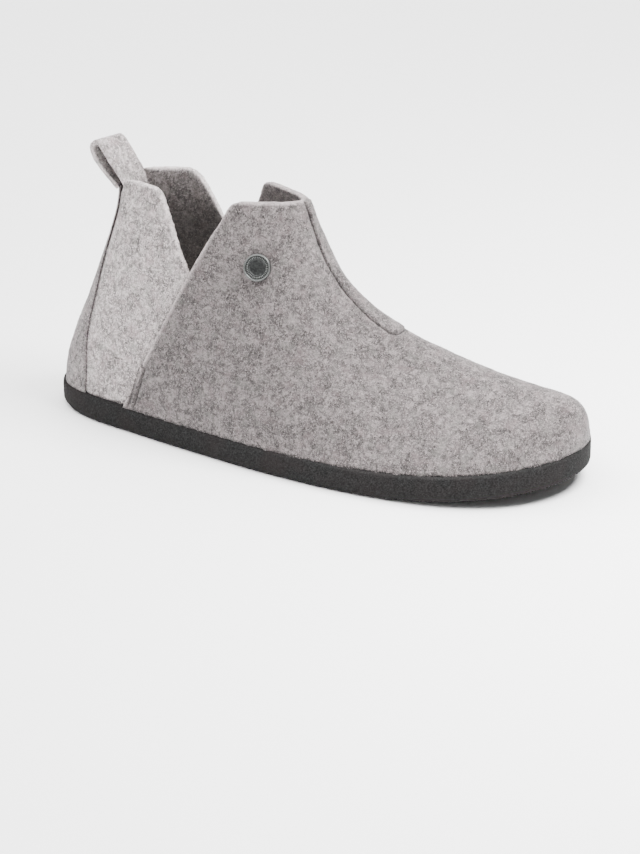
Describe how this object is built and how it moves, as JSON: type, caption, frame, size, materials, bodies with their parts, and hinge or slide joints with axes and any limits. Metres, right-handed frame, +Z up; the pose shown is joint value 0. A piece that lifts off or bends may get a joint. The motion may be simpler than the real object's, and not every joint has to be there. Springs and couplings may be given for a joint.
{
  "type": "felt slipper",
  "caption": "Low ankle slipper of thick grey felt for the right foot, with a cut-out on each side, a heel pull loop, a flat sheet sole and a loose cork and fleece footbed",
  "frame": {"origin": "on the ground under the middle of the slipper", "axes": "+X to the toe, +Y to the inner (medial) side of the right foot, +Z up"},
  "size_m": [0.2734, 0.0974, 0.1373],
  "materials": {
    "felt": "mottled wool felt, matt and slightly fuzzy",
    "sole_rubber": "matt, finely speckled",
    "cork": "pressed cork, matt",
    "fleece": "soft pile",
    "rivet_metal": "dark, satin"
  },
  "bodies": {
    "root": {"outsole": "sole_rubber", "upper": "felt", "heel_strip": "felt", "pull_loop": "felt", "instep_strip": "felt", "footbed_cork": "cork", "footbed_fleece": "fleece", "rivet_cap": "rivet_metal"}
  },
  "joints": []
}
